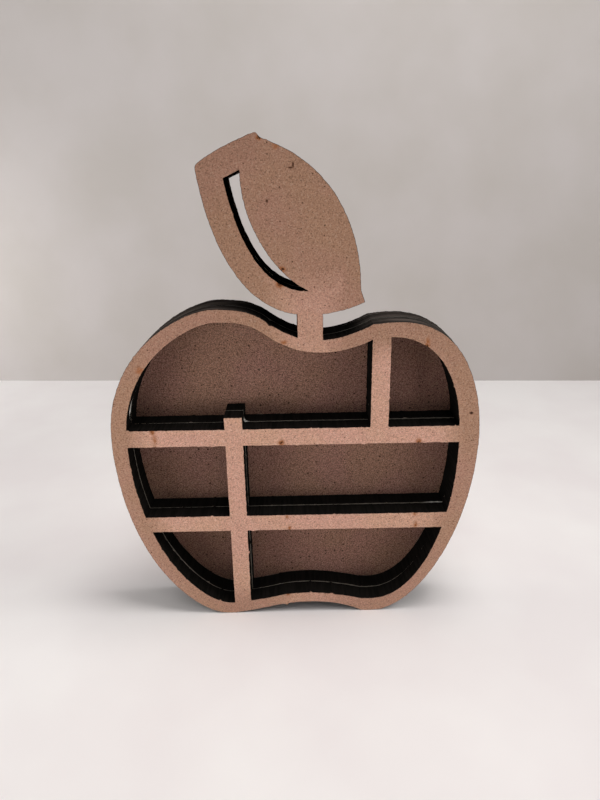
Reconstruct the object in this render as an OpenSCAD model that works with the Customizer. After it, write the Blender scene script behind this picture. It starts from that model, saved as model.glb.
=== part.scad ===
// Apple-shaped display shelf: two cut frames and a back panel, glued into one stack.
// +X is to the right, +Y to the back and +Z up. The origin lies on the ground line,
// under the middle of the stack.

/* [Boards] */
// Thickness of the front frame
front_t = 6; // [3:0.5:10]
// Thickness of the middle frame
middle_t = 6; // [3:0.5:20]
// Thickness of the back panel
back_t = 3; // [2:0.5:8]
// Thickness of the glue film in each joint
glue_t = 0.1; // [0.05:0.05:0.3]

/* [Apple outline] */
// Width from cheek to cheek
apple_w = 112.5; // [106:0.5:130]
// Height of the left shoulder, the taller one
apple_h = 104.9; // [98:0.5:120]
// Height at which the cheeks are widest
cheek_h = 63.2; // [55:0.5:70]
// Distance of the left shoulder from the middle
left_shoulder_x = 23.2; // [18:0.1:28]
// Distance of the right shoulder from the middle
right_shoulder_x = 30.6; // [28:0.1:34]
// How far the right shoulder is below the left one
right_shoulder_drop = 4.5; // [2:0.1:7]
// Distance of the dip's lowest point from the middle
dip_x = 6.3; // [4:0.1:9]
// Depth of the dip below the left shoulder
dip_depth = 9.4; // [8:0.1:14]
// Distance from the dip to the bend where its left side starts
left_bend_x = 14.5; // [12:0.1:18]
// Height of the left bend above the dip
left_bend_h = 5.9; // [4:0.1:7]
// Distance from the right shoulder to the bend where the dip's right side starts
right_bend_x = 7.8; // [6:0.1:10]
// How far the right bend is below the right shoulder
right_bend_drop = 0.5; // [0.2:0.1:1.5]
// Distance of the left foot from the middle
left_foot_x = 22.8; // [18:0.1:28]
// Distance of the right foot from the middle
right_foot_x = 23.4; // [18:0.1:28]
// Length of the flat that the left foot stands on
left_foot_w = 2; // [1:0.1:5]
// Length of the flat that the right foot stands on
right_foot_w = 3.4; // [1:0.1:5]
// Height of the arch between the feet
arch_h = 4; // [2:0.1:6]
// Distance of the arch's top from the middle
arch_x = 4; // [0:0.1:8]

/* [Rim] */
// Width of the rim at the left cheek
left_rim = 4.7; // [3:0.1:8]
// Width of the rim at the right cheek
right_rim = 6.1; // [3:0.1:8]
// Width of the rim over the left shoulder
left_shoulder_rim = 3.9; // [2.5:0.1:7]
// Width of the rim over the right shoulder
right_shoulder_rim = 4.4; // [2.5:0.1:7]
// Width of the rim in the dip
dip_rim = 3.9; // [2.5:0.1:7]
// Width of the rim above the left foot
left_foot_rim = 4.3; // [2.5:0.1:7]
// Width of the rim above the right foot
right_foot_rim = 5; // [2.5:0.1:7]
// Width of the rim above the arch
arch_rim = 3.8; // [2.5:0.1:6]

/* [Shelves and dividers] */
// Thickness of the shelves
shelf_t = 5.6; // [3:0.1:9]
// Height of the lower shelf's underside
lower_shelf_h = 32.4; // [26:0.1:38]
// Height of the upper shelf's underside
upper_shelf_h = 62.5; // [54:0.1:70]
// Thickness of the dividers
divider_t = 5.6; // [3:0.1:9]
// Distance of the left divider from the middle
left_divider_x = 18.9; // [10:0.1:28]
// Distance of the right divider from the middle
right_divider_x = 25.5; // [14:0.1:34]
// How far the left divider stands up above the upper shelf
tab_h = 3.8; // [2:0.1:12]

/* [Stem and leaf] */
// Width of the stem
stem_w = 7.4; // [5:0.1:12]
// Distance of the stem from the middle
stem_x = 4.7; // [2:0.1:8]
// Free length of the stem, from the dip to the leaf
stem_len = 7.3; // [5:0.1:20]
// Height of the leaf above its heel on the stem
leaf_h = 47.3; // [44:0.1:60]
// Reach of the leaf to the left of the stem
leaf_left = 29.8; // [28:0.1:40]
// Reach of the leaf's tip to the right of the stem
leaf_right = 15.6; // [13:0.1:20]
// Height of the leaf's tip above the heel
leaf_tip_h = 3.5; // [2:0.1:5]
// How far the tip flares out of the leaf's right edge
leaf_flare = 1.2; // [0.5:0.1:2]
// Height of the flare
leaf_flare_h = 3.2; // [2:0.1:5]
// Distance of the leaf's peak from its left edge
leaf_peak_x = 14.3; // [12:0.1:18]
// How far the leaf's left corner is below its peak
leaf_corner_drop = 7.9; // [6:0.1:10]
// Height of the leaf's rounded left corner
leaf_corner = 1.6; // [0.5:0.1:2.5]
// Width of the vein slot at its blunt end
slot_w = 4.7; // [3:0.1:7]
// Width of the leaf to the left of the slot's blunt end
slot_side = 7.3; // [4:0.1:10]
// Height of the leaf above the slot's blunt end
slot_top = 10.5; // [8:0.1:14]
// Height of the slot's sharp end above the heel
slot_tip_h = 6.9; // [5:0.1:12]
// Distance of the slot's sharp end from the stem's middle, to the left
slot_tip_x = 0.4; // [0:0.1:6]

/* [Hidden] */

// Straight pieces that stand for each curved stretch of an outline
steps = 20;
// How far a cut runs past the faces of its board
overcut = 1;
// How far joined shapes run into each other
bite = 1.5;
// Direction of the slot's blunt end
slot_end_heading = 24;

// Sideways moves of the pocket edge's stations from those of the outline
left_foot_slide = 0.8;
left_shoulder_slide = 0.5;
left_bend_slide = -0.5;
dip_slide = 1.5;
right_bend_slide = 0.4;
right_shoulder_slide = -3;
right_cheek_slide = -3.8;
right_foot_slide = -0.4;

depth = front_t + glue_t + middle_t + glue_t + back_t;
front_y = -depth / 2;
front_glue_y = front_y + front_t;
middle_y = front_glue_y + glue_t;
back_glue_y = middle_y + middle_t;
back_y = back_glue_y + glue_t;

right_shoulder_h = apple_h - right_shoulder_drop;
dip_h = apple_h - dip_depth;
heel = [stem_x, dip_h + stem_len];
leaf_corner_point = heel + [-leaf_left, leaf_h - leaf_corner_drop];
slot_corner_point = heel + [slot_side - leaf_left, leaf_h - slot_top];

mdf_face = "#b98c78";
mdf_edge = "#2b211b";
mdf_shade = "#6a4f43";
dried_glue = "#cdbfac";

function unit(heading) = [cos(heading), sin(heading)];

// Point at share t of the curve that leaves a towards b and arrives at d from c
function curve_point(a, b, c, d, t) =
    pow(1 - t, 3) * a + 3 * pow(1 - t, 2) * t * b + 3 * (1 - t) * t * t * c + t * t * t * d;

// A station is [point, heading in, heading out, reach in, reach out]. A reach is the share of the
// distance to the neighbour over which the curve holds its heading, and two zero reaches make a
// straight stretch.
function stretch(from, to) =
    let (far = norm(to[0] - from[0]))
    let (leave = from[0] + from[4] * far * unit(from[2]))
    let (arrive = to[0] - to[3] * far * unit(to[1]))
    from[4] == 0 && to[3] == 0
        ? [from[0]]
        : [for (i = [0 : steps - 1]) curve_point(from[0], leave, arrive, to[0], i / steps)];

function outline(stations) =
    [for (i = [0 : len(stations) - 1]) each stretch(stations[i], stations[(i + 1) % len(stations)])];

// The apple, clockwise from the outer end of the left foot
apple = [
    [[-left_foot_x - left_foot_w / 2, 0], 180, 180, 0, 0.16],
    [[-apple_w / 2, cheek_h], 90, 90, 0.58, 0.59],
    [[-left_shoulder_x, apple_h], 0, 0, 0.13, 0.34],
    [[dip_x - left_bend_x, dip_h + left_bend_h], -36, -37, 0.36, 0.38],
    [[dip_x, dip_h], 0, 0, 0.27, 0.33],
    [[right_shoulder_x - right_bend_x, right_shoulder_h - right_bend_drop], 27, 6, 0.40, 0.41],
    [[right_shoulder_x, right_shoulder_h], 0, 0, 0.44, 0.54],
    [[apple_w / 2, cheek_h], -90, -90, 0.12, 0.51],
    [[right_foot_x + right_foot_w / 2, 0], 180, 180, 0.19, 0],
    [[right_foot_x - right_foot_w / 2, 0], 180, 155, 0, 0.25],
    [[arch_x, arch_h], 180, 180, 0.47, 0.40],
    [[-left_foot_x + left_foot_w / 2, 0], 187, 180, 0.42, 0],
];

// How far each station of the apple moves for the edge of the pockets, and its reaches there
rim = [
    [[left_foot_slide, left_foot_rim], 0, 0.14],
    [[left_rim, 0], 0.59, 0.59],
    [[left_shoulder_slide, -left_shoulder_rim], 0.12, 0.25],
    [[left_bend_slide, -left_shoulder_rim], 0.46, 0.45],
    [[dip_slide, -dip_rim], 0.21, 0.31],
    [[right_bend_slide, -right_shoulder_rim], 0.40, 0.41],
    [[right_shoulder_slide, -right_shoulder_rim], 0.44, 0.55],
    [[-right_rim, right_cheek_slide], 0.11, 0.48],
    [[right_foot_slide, right_foot_rim], 0.24, 0],
    [[right_foot_slide, right_foot_rim], 0, 0.05],
    [[0, arch_rim], 0.33, 0.47],
    [[left_foot_slide, left_foot_rim], 0.65, 0],
];

hollow = [
    for (i = [0 : len(apple) - 1])
        [apple[i][0] + rim[i][0], apple[i][1], apple[i][2], rim[i][1], rim[i][2]]
];

// The leaf, clockwise from its heel on the stem
leaf = [
    [heel, 180, 180, 0.36, 0.41],
    [leaf_corner_point, 97, 97, 0.34, 0.3],
    [leaf_corner_point + leaf_corner * [0.75, 1], 36, 36, 0.3, 0.28],
    [heel + [leaf_peak_x - leaf_left, leaf_h], 19, -14, 0.15, 0.46],
    [heel + [leaf_right - leaf_flare, leaf_tip_h + leaf_flare_h], -89, -70, 0.34, 0],
    [heel + [leaf_right, leaf_tip_h], -70, 205, 0, 0.25],
];

// The vein slot, clockwise from its sharp end
slot = [
    [heel + [-slot_tip_x, slot_tip_h], -25, 180, 0.27, 0.38],
    [slot_corner_point, 100, slot_end_heading, 0.34, 0],
    [slot_corner_point + slot_w * unit(slot_end_heading), slot_end_heading, -92, 0, 0.38],
];

// The shelves from cheek to cheek, and the dividers
module bars() {
    for (shelf_h = [lower_shelf_h, upper_shelf_h])
        translate([-apple_w / 2, shelf_h])
            square([apple_w, shelf_t]);
    translate([-left_divider_x - divider_t / 2, 0])
        square([divider_t, upper_shelf_h + shelf_t + tab_h]);
    translate([right_divider_x - divider_t / 2, upper_shelf_h])
        square([divider_t, apple_h - upper_shelf_h]);
}

module pockets() {
    difference() {
        polygon(outline(hollow));
        bars();
    }
}

// The stem, rooted in the apple and run into the leaf
module stem() {
    stem_root = dip_h - bite;
    translate([stem_x - stem_w / 2, stem_root])
        square([stem_w, heel[1] + bite - stem_root]);
}

// Stands a flat shape upright as a board, with its front face at y
module board(y, thickness) {
    translate([0, y + thickness, 0])
        rotate([90, 0, 0])
            linear_extrude(thickness)
                children();
}

// Stands a flat shape upright as a cut right through a board
module cut(y, thickness) {
    board(y - overcut, thickness + 2 * overcut)
        children();
}

// A whole board: the apple, its stem, and the leaf with its slot cut through
module whole(y, thickness) {
    difference() {
        union() {
            board(y, thickness)
                polygon(outline(apple));
            board(y, thickness)
                stem();
            board(y, thickness)
                polygon(outline(leaf));
        }
        cut(y, thickness)
            polygon(outline(slot));
    }
}

// A board with its pockets cut through as well
module rack(y, thickness) {
    difference() {
        whole(y, thickness);
        cut(y, thickness)
            pockets();
    }
}

module front_frame() {
    color(mdf_face)
        rack(front_y, front_t);
}

module front_glue() {
    color(dried_glue)
        rack(front_glue_y, glue_t);
}

module middle_frame() {
    color(mdf_edge)
        rack(middle_y, middle_t);
}

module back_glue() {
    color(dried_glue)
        rack(back_glue_y, glue_t);
}

module back_panel() {
    color(mdf_shade)
        whole(back_y, back_t);
}

front_frame();
front_glue();
middle_frame();
back_glue();
back_panel();
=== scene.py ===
"""Looks of an apple-shaped display shelf: two laser-cut MDF frames and a back panel, glued together.

The frame is in metres, with +X to the right, +Y to the back and +Z up. Lengths in this script are in
millimetres, and points become metres when they go into a mesh.
"""

from types import SimpleNamespace

import bpy
import numpy as np
from mathutils import Matrix, Vector
from mathutils.geometry import delaunay_2d_cdt


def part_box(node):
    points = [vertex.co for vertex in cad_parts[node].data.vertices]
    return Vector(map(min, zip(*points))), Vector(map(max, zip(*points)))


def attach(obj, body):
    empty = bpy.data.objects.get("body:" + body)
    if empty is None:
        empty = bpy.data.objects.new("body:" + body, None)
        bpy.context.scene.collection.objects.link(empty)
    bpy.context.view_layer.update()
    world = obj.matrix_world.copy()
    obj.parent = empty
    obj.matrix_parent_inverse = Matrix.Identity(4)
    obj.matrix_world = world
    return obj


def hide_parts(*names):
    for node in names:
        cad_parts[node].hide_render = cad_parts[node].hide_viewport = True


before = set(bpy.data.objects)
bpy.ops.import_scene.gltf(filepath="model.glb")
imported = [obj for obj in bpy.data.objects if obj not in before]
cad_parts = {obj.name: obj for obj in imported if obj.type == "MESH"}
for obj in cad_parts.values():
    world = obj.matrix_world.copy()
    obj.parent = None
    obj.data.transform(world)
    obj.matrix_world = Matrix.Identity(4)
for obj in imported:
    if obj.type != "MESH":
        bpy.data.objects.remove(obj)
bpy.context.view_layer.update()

MM = 0.001
SEED = 7

# Camera, at the photograph's viewing angle: its place, its three turns, and its lens and sensor
CAMERA_PLACE = (0.31, -175.58, 139.29)
CAMERA_PITCH = np.radians(20.27)
CAMERA_YAW = np.radians(0.40)
CAMERA_ROLL = np.radians(0.88)
LENS = 27.0
SENSOR = 36.0

# Boards: spacing of the points along a cut, the turn that makes a corner, the broken arris, the depths
# of the wall's rows behind each face, spacing of the front face's inner points, and the sharpest turn
# that is shaded smooth
COLUMN_SPACING = 0.3
CORNER_TURN = np.radians(15)
ARRIS = 0.1
ROW_DEPTHS = (0, ARRIS, 3 * ARRIS, 1.2)
FACE_GRID = 0.4
SMOOTH_TURN = np.radians(40)
# How close to the front a point of a board's front face lies
FRONT_SLACK = 0.01
# Output of the triangulation: only what lies inside, with the holes left open
INSIDE_HOLES_OUT = 2
# The laser's ragged cut. Each rough line has a size and a pitch. Teeth and nibs fade with depth.
RIPPLES = ((0.03, 2.5), (0.02, 0.9))
TEETH_SIZE, TEETH_PITCH, TEETH_DEPTH = 0.06, 0.6, 1.5
NIB_SIZE, NIB_PITCH, NIB_START, NIB_DEPTH = 1.6, 0.7, 0.8, 0.3
# The middle board is glued on a little askew: the point that it turns about, and the angle
MIDDLE_PIVOT = (-65.0, 95.0)
MIDDLE_TURN = 0.003

# Scorches, where a cut crossed a slat of the cutting bed: x, z, half width, half height, strength
SCORCHES = np.array([
    (-4.4, 63.3, 0.9, 1.0, 1.4),
    (-3.6, 111.8, 0.9, 0.9, 2.2),
    (-2.9, 115.8, 0.7, 0.7, 2.2),
    (-3.9, 147.3, 0.8, 0.8, 1.0),
    (-8.1, 149.4, 0.6, 0.5, 3.0),
    (-2.9, 95.1, 0.9, 0.7, 0.9),
    (-2.6, 33.2, 0.6, 0.7, 1.1),
    (-3.2, 37.3, 0.6, 0.7, 1.0),
    (-3.5, 7.3, 0.6, 0.6, 1.4),
    (38.7, 93.6, 0.6, 1.9, 1.3),
    (37.7, 63.0, 0.8, 1.0, 1.3),
    (38.3, 33.2, 0.6, 1.5, 1.0),
    (38.0, 37.6, 0.7, 0.7, 1.0),
    (-43.5, 67.6, 0.7, 0.9, 1.2),
    (-43.0, 65.0, 0.7, 2.3, 0.8),
    (-45.3, 87.2, 1.2, 1.1, 0.9),
])
# Flakes of bark in the front face: x, z, half width, half height, strength
FLAKES = np.array([
    (0.6, 142.7, 0.25, 0.9, 1.5),
    (-0.1, 142.0, 0.8, 0.25, 1.3),
    (31.6, 36.7, 0.7, 0.4, 0.7),
    (-19.6, 69.6, 0.7, 0.35, 0.6),
    (-6.5, 133.8, 0.35, 0.5, 1.4),
    (53.2, 72.1, 0.55, 0.4, 2.0),
    (20.2, 66.2, 0.4, 0.4, 0.7),
])
# Painted shade greys a strip along the outer edge, more of it higher up and less within reach of the
# stem, and the whole leaf
SHADE_FULL = 4.5
SHADE_END = 12.0
SHADE_LOW = 0.6
STEM_X = 3.4
STEM_REACH = 12.0
STEM_SHADE = 0.4
LEAF_START = 100.0
LEAF_FULL = 116.0
LEAF_SHADE = 0.9
# Painted sheen lies on the upward edges of the apple's shoulders, this far from the stem, and more of it
# on the left
SHEEN_START = 12.0
SHEEN_FULL = 26.0
SHEEN_LEFT, SHEEN_RIGHT = 1.1, 0.9

# Chips and burrs on the front board's cut edges: x, z, how far the edge stands out, and width
FLAWS = np.array([
    (-9.25, 149.66, 1.0, 1.0),
    (-6.9, 100.46, -0.4, 0.6),
    (-4.04, 3.4, 0.7, 0.5),
    (28.3, 95.6, -0.15, 0.4),
    (-26.63, 5.18, 0.45, 0.35),
    (4.21, 7.8, 0.35, 0.35),
    (11.29, 7.09, 0.35, 0.35),
    (-44.25, 26.04, -0.25, 0.4),
    (-42.07, 21.68, -0.3, 0.4),
    (-39.81, 17.88, -0.25, 0.4),
    (-37.27, 14.26, -0.25, 0.35),
    (-16.1, 24.29, 0.4, 0.4),
])

# Blobs of glue that were pressed out of the front joint: x, z, how far out, width along the edge,
# half height across it, and how far it was smeared to the front
GLUE_BLOBS = np.array([
    (-50.2, 74.0, 0.35, 3.2, 0.5, 3.2),
    (-15.6, 68.8, 0.7, 0.8, 0.7, 0.0),
    (45.6, 38.4, 0.3, 2.5, 0.25, 0.0),
])
# The bead of glue: how far it stays inside the joint, its two rough lines, the depth of its root and
# of the film's seat, its rows, and how dirty it is along the outer edge
GLUE_SET_BACK = 0.06
GLUE_LINES = ((0.05, 6), (0.02, 1.5))
GLUE_ROOT = 0.03
GLUE_SEAT = 0.2
GLUE_ROWS = 7
GLUE_DIRT = 0.6
# Pitch of a blob's ragged edge, how deep the edge is, and how steeply the smear to the front begins
BLOB_PITCH = 0.9
BLOB_RAGGED = 0.4
SMEAR_START = 4

# The board's patterns: soft patches, fibres that are so many times as long as thick, and the blotches of
# a scorch
PATCH_SIZE = 22
FIBRE_SIZE = 0.28
FIBRE_LENGTH = 4
BLOTCH_SIZE = 0.9
# The cut edge's patterns: ridges drawn out along the beam, and streaks of painted sheen drawn out along
# the cut
RIDGE_SIZE, RIDGE_SQUEEZE = 0.7, 0.06
STREAK_SIZE, STREAK_SQUEEZE = 0.9, 0.05
# Clouds in the dried glue
GLUE_CLOUD_SIZE = 1.5


def linear(hex_colour):
    """Linear RGBA of an sRGB hex colour."""
    srgb = np.array([int(hex_colour[i:i + 2], 16) for i in (1, 3, 5)]) / 255
    rgb = np.where(srgb <= 0.04045, srgb / 12.92, ((srgb + 0.055) / 1.055) ** 2.4)
    return (*rgb.tolist(), 1.0)


def cycles(size):
    """Texture scale at which a pattern repeats about every `size` mm."""
    return 1 / (size * MM)


def front_outlines(node):
    """Closed outlines of a board's front face, as arrays of (x, z) in mm with the board on their left.

    The corners of the front face's triangles are welded. An edge that only one triangle has lies on
    an outline and leads to the next one. Doubling the hop to the next corner again and again gives
    each corner the lowest corner of its loop, and then its number of hops to the end of the loop.
    """
    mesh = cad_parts[node].data
    mesh.calc_loop_triangles()
    points = np.empty(3 * len(mesh.vertices), np.float32)
    mesh.vertices.foreach_get("co", points)
    corners = np.empty(3 * len(mesh.loop_triangles), np.int32)
    mesh.loop_triangles.foreach_get("vertices", corners)
    triangles = points.reshape(-1, 3)[corners].reshape(-1, 3, 3) / MM
    depth = triangles[..., 1]
    front = triangles[(depth < depth.min() + FRONT_SLACK).all(1)][..., [0, 2]]
    welded, index = np.unique(front.reshape(-1, 2).round(3), axis=0, return_inverse=True)
    index = index.reshape(-1, 3)
    edges = np.stack([index, np.roll(index, -1, 1)], -1).reshape(-1, 2)
    lone = ~np.isin(edges @ [len(welded), 1], edges @ [1, len(welded)])
    start, end = edges[lone][np.argsort(edges[lone][:, 0])].T
    follow = np.searchsorted(start, end)
    rounds = len(start).bit_length()
    first, hop = np.arange(len(start)), follow
    for _ in range(rounds):
        first, hop = np.minimum(first, first[hop]), hop[hop]
    closing = follow == first
    hop, left = np.where(closing, np.arange(len(start)), follow), np.where(closing, 0, 1)
    for _ in range(rounds):
        left, hop = left + left[hop], hop[hop]
    order = np.lexsort((-left, first))
    return np.split(welded[start[order]], np.flatnonzero(np.diff(first[order])) + 1)


def resample(loop, spacing):
    """The loop with a point about every `spacing` mm.

    Each stretch is a cubic curve from point to point. It leaves and arrives along the circle through
    the neighbouring points, or along the straight stretch itself where the loop has a corner.
    """
    step = np.roll(loop, -1, 0) - loop
    length = np.linalg.norm(step, axis=1, keepdims=True)
    ahead = step / length
    behind, behind_length = np.roll(ahead, 1, 0), np.roll(length, 1, 0)
    corner = (ahead * behind).sum(1, keepdims=True) < np.cos(CORNER_TURN)
    along = behind * length + ahead * behind_length
    along /= np.linalg.norm(along, axis=1, keepdims=True)
    leave = np.where(corner, ahead, along)
    arrive = np.where(np.roll(corner, -1, 0), ahead, np.roll(along, -1, 0))
    count = np.ceil(length[:, 0] / spacing).astype(int)
    row = np.repeat(np.arange(len(loop)), count)
    t = ((np.arange(len(row)) - np.repeat(np.cumsum(count) - count, count)) / count[row])[:, None]
    return (
        loop[row]
        + step[row] * (3 - 2 * t) * t ** 2
        + leave[row] * length[row] * t * (1 - t) ** 2
        - arrive[row] * length[row] * t ** 2 * (1 - t)
    )


def cut_path(outlines, spacing):
    """The outlines as one run of columns: points, index of the next column, outward direction,
    distance along the loop, the loop's length, the loop's number, and whether it is the outer one.

    The outward direction lies to the right of the path, square to it, and is lengthened at a corner
    so that both sides move out evenly.
    """
    loops = [resample(loop, spacing) for loop in outlines]
    parts, base = [], 0
    for number, loop in enumerate(loops):
        step = np.roll(loop, -1, 0) - loop
        length = np.linalg.norm(step, axis=1)
        side = np.stack([step[:, 1], -step[:, 0]], 1) / length[:, None]
        middle = side + np.roll(side, 1, 0)
        middle *= np.minimum(2 / (middle ** 2).sum(1, keepdims=True), 1.2)
        along = np.cumsum(length) - length
        ahead = base + np.roll(np.arange(len(loop)), -1)
        whole, loop_number = np.full(len(loop), length.sum()), np.full(len(loop), number)
        parts.append((loop, ahead, middle, along, whole, loop_number))
        base += len(loop)
    names = ("points", "ahead", "outward", "along", "length", "loop")
    path = SimpleNamespace(**{name: np.concatenate(part) for name, part in zip(names, zip(*parts))})
    path.outer = path.loop == path.loop[path.points[:, 1].argmax()]
    return path


def ragged(path, pitch, rng):
    """A rough line along the outlines, from -1 to 1: random heights about every `pitch` mm of each
    loop, joined by straight stretches that close on themselves."""
    knots = np.maximum(np.round(path.length / pitch), 3)
    heights = rng.uniform(-1, 1, (path.loop.max() + 1, int(knots.max())))
    place = path.along / path.length * knots
    low = np.floor(place)
    before = heights[path.loop, low.astype(int)]
    after = heights[path.loop, ((low + 1) % knots).astype(int)]
    return before + (after - before) * (place - low)


def carried(path, out, depth):
    """A profile carried along the outlines: row r lies out[r] mm outside the outline at depth[r].

    out and depth are (rows, columns) or (rows, 1). The result is (rows, columns, 3), in mm.
    """
    flat = path.points + np.asarray(out)[..., None] * path.outward
    return np.stack([flat[..., 0], np.broadcast_to(depth, flat.shape[:2]), flat[..., 1]], -1)


def wall_faces(rows, ahead):
    """Quads between neighbouring rows and columns of a carried profile, facing out of the board."""
    row = np.arange(rows - 1)[:, None] * len(ahead)
    here, there = row + np.arange(len(ahead)), row + ahead
    return np.stack([here, here + len(ahead), there + len(ahead), there], -1).reshape(-1, 4)


def distance(points, others):
    """Distance in mm from each (x, z) point to the nearest of the others."""
    return np.concatenate([
        np.sqrt(((chunk[:, None] - others) ** 2).sum(-1).min(1))
        for chunk in np.array_split(points, len(points) // 400 + 1)
    ])


def marks(points, table):
    """Strength of marks at (x, z) points: the highest of the bell curves that the rows give by x, z,
    half width, half height and strength."""
    apart = (points[:, None] - table[:, :2]) / table[:, 2:4]
    return (table[:, 4] * np.exp(-(apart ** 2).sum(-1))).max(1)


def mark_points(table):
    """Points on four rings round each mark, so that the mesh shows the marks sharply."""
    turn = np.radians(np.arange(0, 360, 45))
    rings = np.array([0.1, 0.5, 0.9, 1.4])[:, None, None] * np.stack([np.cos(turn), np.sin(turn)], -1)
    return (table[:, None, :2] + table[:, None, 2:4] * rings.reshape(-1, 2)).reshape(-1, 2)


def askew(points, turn):
    """(x, z) points turned about the middle board's pivot by a small angle."""
    away = points - MIDDLE_PIVOT
    return points + turn * np.stack([-away[:, 1], away[:, 0]], 1)


def fill(rim, path, grid):
    """A flat face inside the outlines, facing the front.

    The rim's (x, z) points and, if grid is set, inner points on a lattice of that spacing and round
    the marks are joined by a constrained Delaunay triangulation. Returns the inner points and the
    triangles, whose numbers count the rim first.
    """
    inner = np.empty((0, 2))
    if grid:
        low, high = rim.min(0), rim.max(0)
        across, up = np.meshgrid(*(np.arange(a, b, grid) for a, b in zip(low, high)))
        inner = np.stack([across + grid / 2 * (np.arange(len(up)) % 2)[:, None], up], -1).reshape(-1, 2)
        inner = inner[distance(inner, path.points[::4]) > grid]
        near_marks = np.concatenate([mark_points(SCORCHES), mark_points(FLAKES)])
        inner = np.concatenate([inner, near_marks[distance(near_marks, path.points) > COLUMN_SPACING]])
    points = [Vector(p) for p in np.concatenate([rim, inner]).tolist()]
    loops = np.split(np.arange(len(rim)), np.flatnonzero(np.diff(path.loop)) + 1)
    found = delaunay_2d_cdt(points, [], [loop.tolist() for loop in loops], INSIDE_HOLES_OUT, 1e-6)
    return inner, np.array(found[2])


def new_piece(name, points, faces, face_materials, materials, node, slot, **attributes):
    """A piece made of points in mm and lists of faces, which stands for a CAD node.

    Each list of faces has its number among the materials. Points that no face uses are left out, and
    each attribute keeps one number for each point.
    """
    sizes = np.concatenate([np.full(len(f), f.shape[1]) for f in faces])
    corners = np.concatenate([f.ravel() for f in faces])
    used, corners = np.unique(corners, return_inverse=True)
    mesh = bpy.data.meshes.new(name)
    mesh.vertices.add(len(used))
    mesh.vertices.foreach_set("co", (points[used] * MM).astype(np.float32).ravel())
    mesh.loops.add(len(corners))
    mesh.loops.foreach_set("vertex_index", corners.astype(np.int32))
    mesh.polygons.add(len(sizes))
    mesh.polygons.foreach_set("loop_start", (np.cumsum(sizes) - sizes).astype(np.int32))
    index = np.repeat(face_materials, [len(f) for f in faces])
    mesh.polygons.foreach_set("material_index", index.astype(np.int32))
    mesh.update(calc_edges=True)
    for label, values in attributes.items():
        layer = mesh.attributes.new(label, "FLOAT", "POINT")
        layer.data.foreach_set("value", values[used].astype(np.float32))
    for material in materials:
        mesh.materials.append(material)
    mesh.shade_smooth()
    mesh.set_sharp_from_angle(angle=SMOOTH_TURN)
    piece = bpy.data.objects.new(name, mesh)
    bpy.context.scene.collection.objects.link(piece)
    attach(piece, "root")
    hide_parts(node)


def board(name, node, slot, face, rear, edge, rng, turn=0, flaws=None, grid=0):
    """A laser-cut board: a wall profile carried along the outlines, and a flat face at each end.

    The wall moves in and out by the cut's ragged line. At the two arrises the burnt fibres break
    away in a finer line with a few nibs, and the flaws are bell curves round their places. The points
    keep their marks for the materials: painted sheen on the upward edges of the shoulders, painted
    shade in the leaf's slot, and scorches, flakes and painted shade on a face with a grid. A board
    that is glued on askew is turned by a small angle, and the dark of a flake covers the outer ledge
    that this leaves.
    """
    low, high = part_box(node)
    front, back = low.y / MM, high.y / MM
    path = cut_path(front_outlines(node), COLUMN_SPACING)
    path.points = askew(path.points, turn)
    ripple = sum(size * ragged(path, pitch, rng) for size, pitch in RIPPLES)
    teeth = TEETH_SIZE * ragged(path, TEETH_PITCH, rng)
    nibs = NIB_SIZE * np.maximum(ragged(path, NIB_PITCH, rng) - NIB_START, 0)
    if flaws is not None:
        gap = np.linalg.norm(path.points[:, None] - flaws[:, :2], axis=-1)
        teeth = teeth + (flaws[:, 2] * np.exp(-(gap / flaws[:, 3]) ** 2)).sum(1)
    depth = np.array([*ROW_DEPTHS, 0.5 * (back - front)])
    depth = np.concatenate([front + depth, back - depth[-2::-1]])[:, None]
    nearest = np.minimum(depth - front, back - depth)
    out = ripple + teeth * np.exp(-nearest / TEETH_DEPTH) + nibs * np.exp(-nearest / NIB_DEPTH)
    wall = carried(path, out - ARRIS * (nearest == 0), depth)
    rows, columns = wall.shape[:2]
    inner, front_face = fill(wall[0][:, [0, 2]], path, grid)
    back_face = fill(wall[-1][:, [0, 2]], path, 0)[1]
    points = np.concatenate([wall.reshape(-1, 3), np.insert(inner, 1, front, axis=1)])
    front_face = np.where(front_face < columns, front_face, front_face + (rows - 1) * columns)
    back_face = back_face[:, ::-1] + (rows - 1) * columns

    # Scorches and flakes, and painted shade along the outer edge and on the leaf, on a face with a grid
    stains_and_painted_light = face_stains_and_shade(points[:, [0, 2]], path) if grid else {}
    if turn:
        stains_and_painted_light["flake"] = np.tile(path.outer, rows)
    # Painted sheen: the upward-facing outer edges of the shoulders are greyed, none near the stem and
    # more on the left
    across = path.points[:, 0] - STEM_X
    away = np.clip((np.abs(across) - SHEEN_START) / (SHEEN_FULL - SHEEN_START), 0, 1)
    painted_sheen = path.outer * away * np.clip(path.outward[:, 1], 0, 1)
    painted_sheen = painted_sheen * np.where(across < 0, SHEEN_LEFT, SHEEN_RIGHT)
    # Painted shade: the walls of the leaf's narrow slot are blackened
    painted_slot_shade = ~path.outer & (path.points[:, 1] > LEAF_START)
    stains_and_painted_light["painted_sheen"] = np.append(np.tile(painted_sheen, rows), np.zeros(len(inner)))
    stains_and_painted_light["painted_slot_shade"] = np.append(np.tile(painted_slot_shade, rows), np.zeros(len(inner)))
    new_piece(
        name, points, [front_face, wall_faces(rows, path.ahead), back_face], [0, 1, 2],
        [face, edge, rear], node, slot, **stains_and_painted_light,
    )


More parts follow.
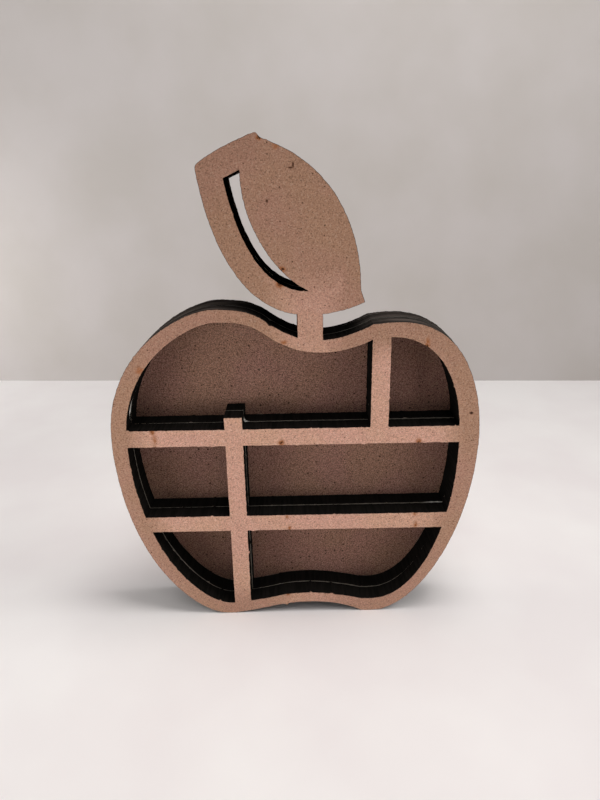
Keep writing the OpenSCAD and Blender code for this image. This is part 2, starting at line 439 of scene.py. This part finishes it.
def face_stains_and_shade(points, path):
    """How scorched and flaked each (x, z) point of a face is, and how much painted shade it gets,
    from 0 to about 1.

    The painted shade falls from the outer outline inwards, grows with height, thins out near the
    stem, and covers the leaf.
    """
    height = points[:, 1]
    from_edge = distance(points, path.points[path.outer][::8])
    strip = np.clip((SHADE_END - from_edge) / (SHADE_END - SHADE_FULL), 0, 1)
    strip = strip * (SHADE_LOW + (1 - SHADE_LOW) * height / height.max())
    strip = strip * np.clip(np.abs(points[:, 0] - STEM_X) / STEM_REACH, STEM_SHADE, 1)
    leaf = LEAF_SHADE * np.clip((height - LEAF_START) / (LEAF_FULL - LEAF_START), 0, 1)
    return {
        "scorch": marks(points, SCORCHES),
        "flake": marks(points, FLAKES),
        "painted_shade": np.maximum(strip, leaf),
    }


def glue_line(name, node, glue, rng, blobs=None):
    """A glue film between two boards, with the bead that was pressed out of the joint.

    The bead is half an ellipse carried along the outlines, which lie askew as the middle board does.
    Its edge follows a ragged line inside the joint, and swells by a bell curve at each blob, which
    stands out and spreads over both boards. thick is 1 in a blob and below 0 where the bead is dirty.
    """
    low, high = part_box(node)
    front, back = low.y / MM, high.y / MM
    middle, half = (front + back) / 2, (back - front) / 2
    path = cut_path(front_outlines(node), 2 * COLUMN_SPACING)
    path.points = askew(path.points, MIDDLE_TURN)
    stand = -GLUE_SET_BACK + sum(size * ragged(path, pitch, rng) for size, pitch in GLUE_LINES)
    reach, thick = np.full(len(stand), half), -GLUE_DIRT * path.outer
    if blobs is not None:
        gap = np.linalg.norm(path.points[:, None] - blobs[:, :2], axis=-1)
        rough = 1 - BLOB_RAGGED + BLOB_RAGGED * ragged(path, BLOB_PITCH, rng)
        swell = np.exp(-(gap / blobs[:, 3]) ** 2) * rough[:, None]
        thick = thick + swell.max(1)
        stand = stand + (blobs[:, 2] * swell).sum(1)
        reach = reach + (blobs[:, 4] * swell).sum(1)
        middle = middle - (blobs[:, 5] * np.clip(SMEAR_START * swell, 0, 1)).sum(1)
    turn = np.linspace(-np.pi / 2, np.pi / 2, GLUE_ROWS)[:, None]
    base = np.minimum(stand, 0) - GLUE_ROOT
    out = base + (stand - base) * np.cos(turn)
    depth = middle + reach * np.sin(turn)
    seat = np.full((1, len(stand)), -GLUE_SEAT)
    out = np.concatenate([seat, out, seat])
    depth = np.concatenate([np.full_like(seat, front), depth, np.full_like(seat, back)])
    wall = carried(path, out, depth)
    rows, columns = wall.shape[:2]
    faces = fill(wall[0][:, [0, 2]], path, 0)[1]
    new_piece(
        name, wall.reshape(-1, 3),
        [wall_faces(rows, path.ahead), faces, faces[:, ::-1] + (rows - 1) * columns],
        [0, 0, 0], [glue], node, "glue", thick=np.tile(thick, rows),
    )


# Sockets of the Mix node for colours
MIX_A, MIX_B, MIX_RESULT = 6, 7, 2


def add(tree, kind, inputs, **settings):
    """Adds one shader node. inputs gives each socket a value or the socket that feeds it."""
    node = tree.nodes.new("ShaderNode" + kind)
    for name, value in settings.items():
        setattr(node, name, value)
    for name, value in inputs.items():
        if isinstance(value, bpy.types.NodeSocket):
            tree.links.new(value, node.inputs[name])
        else:
            node.inputs[name].default_value = value
    return node


def new_material(name):
    """A new material with no nodes, and its node tree."""
    material = bpy.data.materials.new(name)
    material.use_nodes = True
    material.node_tree.nodes.clear()
    return material, material.node_tree


def raw_mdf(name, pink, tan, dark, pale, shift, grain_size, grain_depth, speck_size):
    """Raw face of medium density fibreboard, pressed and sanded, not sealed.

    Wood fibres pressed in all directions give a dull, pinkish brown face with soft patches, a fine
    grain of short pale and dark fibres, and scattered dark specks and flakes of bark. Painted shade,
    read from the points, greys it, and scorched places turn orange brown and then dark. The pattern
    is flat, in X and Z, and is moved along X by shift.
    """
    material, tree = new_material(name)
    place = add(tree, "TexCoord", {}).outputs["Object"]
    flat = add(tree, "Mapping", {
        "Vector": place, "Rotation": (-np.pi / 2, 0, 0), "Location": (shift * MM, 0, 0),
    }).outputs[0]
    patch = add(tree, "TexNoise", {
        "Vector": flat, "Scale": cycles(PATCH_SIZE), "Detail": 3.0,
    }, noise_dimensions="2D")
    patch = add(tree, "MapRange", {"Value": patch.outputs[0], "From Min": 0.38, "From Max": 0.62})
    colour = add(tree, "Mix", {
        0: patch.outputs[0], MIX_A: linear(pink), MIX_B: linear(tan),
    }, data_type="RGBA")

    # The grain of real fibres, about 0.1 mm thick, is drawn up to four times as coarse so that it shows
    grain = add(tree, "TexNoise", {
        "Vector": flat, "Scale": cycles(grain_size), "Detail": 2.0, "Roughness": 0.7, "Distortion": 0.6,
    }, noise_dimensions="2D")
    grain = add(tree, "MapRange", {
        "Value": grain.outputs[0], "From Min": 0.3, "From Max": 0.7,
        "To Min": 1 - grain_depth, "To Max": 1 + grain_depth,
    })
    colour = add(tree, "Mix", {
        0: 1.0, MIX_A: colour.outputs[MIX_RESULT], MIX_B: grain.outputs[0],
    }, data_type="RGBA", blend_type="MULTIPLY")

    # Fibres lie at four slants, dark and pale by turns, each a stretched noise of which only the
    # peaks show. They are drawn about three times as thick as real ones.
    for slant, fibre_colour in ((15, dark), (65, pale), (110, dark), (155, pale)):
        turned = add(tree, "Mapping", {"Vector": flat, "Rotation": (0, 0, np.radians(slant))})
        stretched = add(tree, "Mapping", {"Vector": turned.outputs[0], "Scale": (1 / FIBRE_LENGTH, 1, 1)})
        fibre = add(tree, "TexNoise", {
            "Vector": stretched.outputs[0], "Scale": cycles(FIBRE_SIZE), "Detail": 0.0, "Distortion": 0.5,
        }, noise_dimensions="2D")
        fibre = add(tree, "MapRange", {
            "Value": fibre.outputs[0], "From Min": 0.66, "From Max": 0.84, "To Max": 0.4,
        })
        colour = add(tree, "Mix", {
            0: fibre.outputs[0], MIX_A: colour.outputs[MIX_RESULT], MIX_B: linear(fibre_colour),
        }, data_type="RGBA")

    # Specks of bark sit in round cells; few cells hold a large one, and more of them a small one
    for spacing, largest, rare, shows in ((1.3, 0.17, 0.4, 0.6), (3.0, 0.11, 0.4, 0.85)):
        cell = add(tree, "TexVoronoi", {
            "Vector": flat, "Scale": cycles(spacing),
        }, voronoi_dimensions="2D")
        chance = add(tree, "SeparateColor", {"Color": cell.outputs["Color"]})
        size = add(tree, "MapRange", {
            "Value": chance.outputs[0], "From Min": rare, "To Max": largest * speck_size,
        })
        speck = add(tree, "Math", {
            0: size.outputs[0], 1: cell.outputs["Distance"],
        }, operation="SUBTRACT")
        speck = add(tree, "MapRange", {
            "Value": speck.outputs[0], "From Min": 0.0, "From Max": 0.03, "To Max": shows,
        })
        colour = add(tree, "Mix", {
            0: speck.outputs[0], MIX_A: colour.outputs[MIX_RESULT], MIX_B: linear(dark),
        }, data_type="RGBA")

    # Painted shade: the face is greyed by the amount each point carries, along the outer edge, higher up
    # and on the leaf
    painted_shade = add(tree, "Attribute", {}, attribute_name="painted_shade")
    colour = add(tree, "Mix", {
        0: painted_shade.outputs["Fac"], MIX_A: colour.outputs[MIX_RESULT], MIX_B: linear("#CBC8BF"),
    }, data_type="RGBA", blend_type="MULTIPLY")
    scorch = add(tree, "Attribute", {}, attribute_name="scorch")
    blotch = add(tree, "TexNoise", {
        "Vector": flat, "Scale": cycles(BLOTCH_SIZE), "Detail": 4.0, "Roughness": 0.7,
    }, noise_dimensions="2D")
    blotch = add(tree, "MapRange", {"Value": blotch.outputs[0], "From Min": 0.2, "From Max": 0.6})
    burnt = add(tree, "Math", {0: scorch.outputs["Fac"], 1: blotch.outputs[0]}, operation="MULTIPLY")
    flake = add(tree, "Attribute", {}, attribute_name="flake")
    for amount, mark_colour, start, end in (
        (burnt.outputs[0], "#A0643E", 0.05, 0.7),
        (burnt.outputs[0], "#43281B", 0.75, 1.2),
        (flake.outputs["Fac"], dark, 0.25, 1.0),
        (flake.outputs["Fac"], "#22170F", 1.0, 1.8),
    ):
        share = add(tree, "MapRange", {"Value": amount, "From Min": start, "From Max": end})
        colour = add(tree, "Mix", {
            0: share.outputs[0], MIX_A: colour.outputs[MIX_RESULT], MIX_B: linear(mark_colour),
        }, data_type="RGBA")
    bump = add(tree, "Bump", {"Height": grain.outputs[0], "Strength": 0.25, "Distance": 0.05 * MM})
    shader = add(tree, "BsdfPrincipled", {
        "Base Color": colour.outputs[MIX_RESULT], "Roughness": 0.85, "IOR": 1.45,
        "Specular IOR Level": 0.2, "Normal": bump.outputs[0],
    })
    add(tree, "OutputMaterial", {"Surface": shader.outputs[0]})
    return material


def charred_mdf(name):
    """Edge of fibreboard as the laser leaves it: charred almost black, and dull like charcoal.

    The beam leaves fine ridges straight through the board. Painted sheen greys some upper edges in
    streaks along the cut. Painted shade makes the leaf's narrow slot blacker.
    """
    material, tree = new_material(name)
    place = add(tree, "TexCoord", {}).outputs["Object"]
    squeeze = (1, RIDGE_SQUEEZE, 1)
    ridge_place = add(tree, "Mapping", {"Vector": place, "Scale": squeeze}).outputs[0]
    ridge = add(tree, "TexNoise", {"Vector": ridge_place, "Scale": cycles(RIDGE_SIZE), "Detail": 3.0})
    squeeze = (STREAK_SQUEEZE, 1, STREAK_SQUEEZE)
    streak_place = add(tree, "Mapping", {"Vector": place, "Scale": squeeze}).outputs[0]
    streak = add(tree, "TexNoise", {"Vector": streak_place, "Scale": cycles(STREAK_SIZE), "Detail": 3.0})
    streak = add(tree, "MapRange", {"Value": streak.outputs[0], "From Min": 0.35, "From Max": 0.65})
    shade = add(tree, "MapRange", {"Value": ridge.outputs[0], "From Min": 0.35, "From Max": 0.65})
    colour = add(tree, "Mix", {
        0: shade.outputs[0], MIX_A: linear("#12110F"), MIX_B: linear("#1D1A18"),
    }, data_type="RGBA")
    # Painted shade: the walls of the leaf's narrow slot are made blacker
    painted_slot_shade = add(tree, "Attribute", {}, attribute_name="painted_slot_shade")
    colour = add(tree, "Mix", {
        0: painted_slot_shade.outputs["Fac"], MIX_A: colour.outputs[MIX_RESULT], MIX_B: linear("#050404"),
    }, data_type="RGBA")
    # Painted sheen: the upward edges of the shoulders are greyed in streaks
    painted_sheen = add(tree, "Attribute", {}, attribute_name="painted_sheen")
    share = add(tree, "Math", {0: painted_sheen.outputs["Fac"], 1: streak.outputs[0]}, operation="MULTIPLY")
    colour = add(tree, "Mix", {
        0: share.outputs[0], MIX_A: colour.outputs[MIX_RESULT], MIX_B: linear("#524944"),
    }, data_type="RGBA")
    bump = add(tree, "Bump", {"Height": ridge.outputs[0], "Strength": 0.3, "Distance": 0.08 * MM})
    shader = add(tree, "BsdfPrincipled", {
        "Base Color": colour.outputs[MIX_RESULT], "Roughness": 0.7, "IOR": 1.45,
        "Specular IOR Level": 0.0, "Normal": bump.outputs[0],
    })
    add(tree, "OutputMaterial", {"Surface": shader.outputs[0]})
    return material


def dried_glue(name):
    """White wood glue that has dried in the joint: greyish and clouded where it is thin, whiter in
    thick blobs, dirty along the outer edge, and a little glossy."""
    material, tree = new_material(name)
    place = add(tree, "TexCoord", {}).outputs["Object"]
    cloud = add(tree, "TexNoise", {"Vector": place, "Scale": cycles(GLUE_CLOUD_SIZE), "Detail": 3.0})
    colour = add(tree, "Mix", {
        0: cloud.outputs[0], MIX_A: linear("#4C463E"), MIX_B: linear("#877F73"),
    }, data_type="RGBA")
    thick = add(tree, "Attribute", {}, attribute_name="thick")
    dirt = add(tree, "MapRange", {
        "Value": thick.outputs["Fac"], "From Min": 0.0, "From Max": -1.0,
    })
    colour = add(tree, "Mix", {
        0: dirt.outputs[0], MIX_A: colour.outputs[MIX_RESULT], MIX_B: linear("#1E1B18"),
    }, data_type="RGBA")
    colour = add(tree, "Mix", {
        0: thick.outputs["Fac"], MIX_A: colour.outputs[MIX_RESULT], MIX_B: linear("#EFECE5"),
    }, data_type="RGBA")
    shader = add(tree, "BsdfPrincipled", {
        "Base Color": colour.outputs[MIX_RESULT], "Roughness": 0.45, "IOR": 1.47,
    })
    add(tree, "OutputMaterial", {"Surface": shader.outputs[0]})
    return material


def matt_paint(name, pale, shaded, size):
    """Matt paint on a plain surface: one pale colour that drifts a little from place to place."""
    material, tree = new_material(name)
    place = add(tree, "TexCoord", {}).outputs["Object"]
    drift = add(tree, "TexNoise", {"Vector": place, "Scale": cycles(size), "Detail": 3.0})
    drift = add(tree, "MapRange", {"Value": drift.outputs[0], "From Min": 0.35, "From Max": 0.65})
    colour = add(tree, "Mix", {
        0: drift.outputs[0], MIX_A: linear(pale), MIX_B: linear(shaded),
    }, data_type="RGBA")
    shader = add(tree, "BsdfPrincipled", {
        "Base Color": colour.outputs[MIX_RESULT], "Roughness": 0.7, "Specular IOR Level": 0.2,
    })
    add(tree, "OutputMaterial", {"Surface": shader.outputs[0]})
    return material


def add_camera():
    """The camera looks ahead and down, turned a little to the right and about its own axis."""
    level = np.cos(CAMERA_PITCH)
    forward = np.array([np.sin(CAMERA_YAW) * level, np.cos(CAMERA_YAW) * level, -np.sin(CAMERA_PITCH)])
    right = np.array([np.cos(CAMERA_YAW), -np.sin(CAMERA_YAW), 0])
    down = np.cross(forward, right)
    across = np.cos(CAMERA_ROLL) * right + np.sin(CAMERA_ROLL) * down
    up = np.sin(CAMERA_ROLL) * right - np.cos(CAMERA_ROLL) * down
    data = bpy.data.cameras.new("camera")
    data.lens, data.sensor_width = LENS, SENSOR
    data.clip_start, data.clip_end = 0.01, 20
    camera = bpy.data.objects.new("camera", data)
    turn = Matrix(np.stack([across, up, -forward], 1).tolist()).to_4x4()
    camera.matrix_world = Matrix.Translation(Vector(CAMERA_PLACE) * MM) @ turn
    bpy.context.scene.collection.objects.link(camera)
    bpy.context.scene.camera = camera


def add_plane(name, corners, material):
    """A flat four-sided surface of the stage, with its corners in mm."""
    mesh = bpy.data.meshes.new(name)
    mesh.from_pydata((np.array(corners) * MM).tolist(), [], [(0, 1, 2, 3)])
    mesh.materials.append(material)
    plane = bpy.data.objects.new(name, mesh)
    bpy.context.scene.collection.objects.link(plane)
    return plane


def add_area_light(name, place, aim, size, power, spread):
    """A square white lamp at a place in mm, facing another. A grid narrows its spread, in degrees."""
    data = bpy.data.lights.new(name, "AREA")
    data.size, data.energy, data.spread = size * MM, power, np.radians(spread)
    lamp = bpy.data.objects.new(name, data)
    place, aim = Vector(place) * MM, Vector(aim) * MM
    turn = (aim - place).to_track_quat("-Z", "Y").to_matrix().to_4x4()
    lamp.matrix_world = Matrix.Translation(place) @ turn
    bpy.context.scene.collection.objects.link(lamp)


add_camera()

rng = np.random.default_rng(SEED)
face = raw_mdf(
    "raw_mdf_face", pink="#CC9D8A", tan="#CA9E86", dark="#5A3728", pale="#E8C6B2",
    shift=0, grain_size=0.42, grain_depth=0.26, speck_size=0.8,
)
# The middle board's face, seen only as a thin ledge in the pockets: smoke-stained, and darkened with
# painted shade
ledge = raw_mdf(
    "smoke_stained_mdf_with_painted_shade", pink="#8A7A70", tan="#857668", dark="#3E342E", pale="#A69A90",
    shift=40, grain_size=0.5, grain_depth=0.25, speck_size=1.0,
)
# The back panel's face inside the pockets is a darker copy of the face: painted shade of the pockets, on
# a somewhat darker board
shaded_face = raw_mdf(
    "mdf_with_painted_pocket_shade", pink="#916A5D", tan="#8F6B59", dark="#2A1A13", pale="#B4917F",
    shift=80, grain_size=0.35, grain_depth=0.75, speck_size=1.1,
)
edge = charred_mdf("laser_charred_mdf_edge")
glue = dried_glue("dried_wood_glue")

board("front_board", "front_frame", "front_mdf", face, face, edge, rng, flaws=FLAWS, grid=FACE_GRID)
board("middle_board", "middle_frame", "middle_mdf", ledge, ledge, edge, rng, turn=MIDDLE_TURN)
board("back_board", "back_panel", "back_mdf", shaded_face, face, edge, rng)
glue_line("front_glue_line", "front_glue", glue, rng, blobs=GLUE_BLOBS)
glue_line("back_glue_line", "back_glue", glue, rng)

# Stage: a pale table that ends at a pale grey wall. The wall comes nearer by this share to the right.
WALL_Y = 243
WALL_TURN = -24.4 / 440.2
FLOOR_REACH = 3000
DRIFT_SIZE = 60
wall_left = (-FLOOR_REACH, WALL_Y - FLOOR_REACH * WALL_TURN, 0)
wall_right = (FLOOR_REACH, WALL_Y + FLOOR_REACH * WALL_TURN, 0)
table = matt_paint("pale_matt_table", "#F2ECE9", "#ECE4E2", DRIFT_SIZE)
plaster = matt_paint("pale_grey_matt_wall", "#C7C1BE", "#C0BAB5", DRIFT_SIZE)
add_plane("floor", [
    (-FLOOR_REACH, -FLOOR_REACH, 0), (FLOOR_REACH, -FLOOR_REACH, 0), wall_right, wall_left,
], table)
wall = add_plane("wall", [
    wall_left, wall_right, (*wall_right[:2], FLOOR_REACH), (*wall_left[:2], FLOOR_REACH),
], plaster)
# The wall is only seen: it neither shades the object nor throws light on it
wall.visible_shadow = False
wall.visible_diffuse = False

# Lamps: name, place, the place that it faces, width, power in watts, and spread
middle = (0, 0, 60)
for lamp in (
    ("left_softbox", (-500, 60, 260), middle, 300, 0.68, 180),
    ("right_softbox", (900, -150, 780), middle, 600, 4.9, 180),
    ("top_softbox", (80, -40, 540), middle, 220, 1.36, 180),
    ("back_softbox", (0, 200, 450), middle, 300, 0.12, 180),
    ("front_softbox", (0, -600, 1000), middle, 500, 2.0, 180),
    ("low_left_softbox", (-200, -155, 18), middle, 120, 0.046, 70),
    ("low_right_softbox", (205, -155, 18), middle, 120, 0.032, 70),
    ("wall_softbox", (-330, 110, 110), (-225, 255, 75), 100, 0.045, 80),
):
    add_area_light(*lamp)
world = bpy.data.worlds.new("studio")
world.use_nodes = True
background = world.node_tree.nodes["Background"]
background.inputs["Color"].default_value = linear("#FFFFFF")
background.inputs["Strength"].default_value = 0.1
bpy.context.scene.world = world
bpy.context.scene.view_settings.view_transform = "Standard"
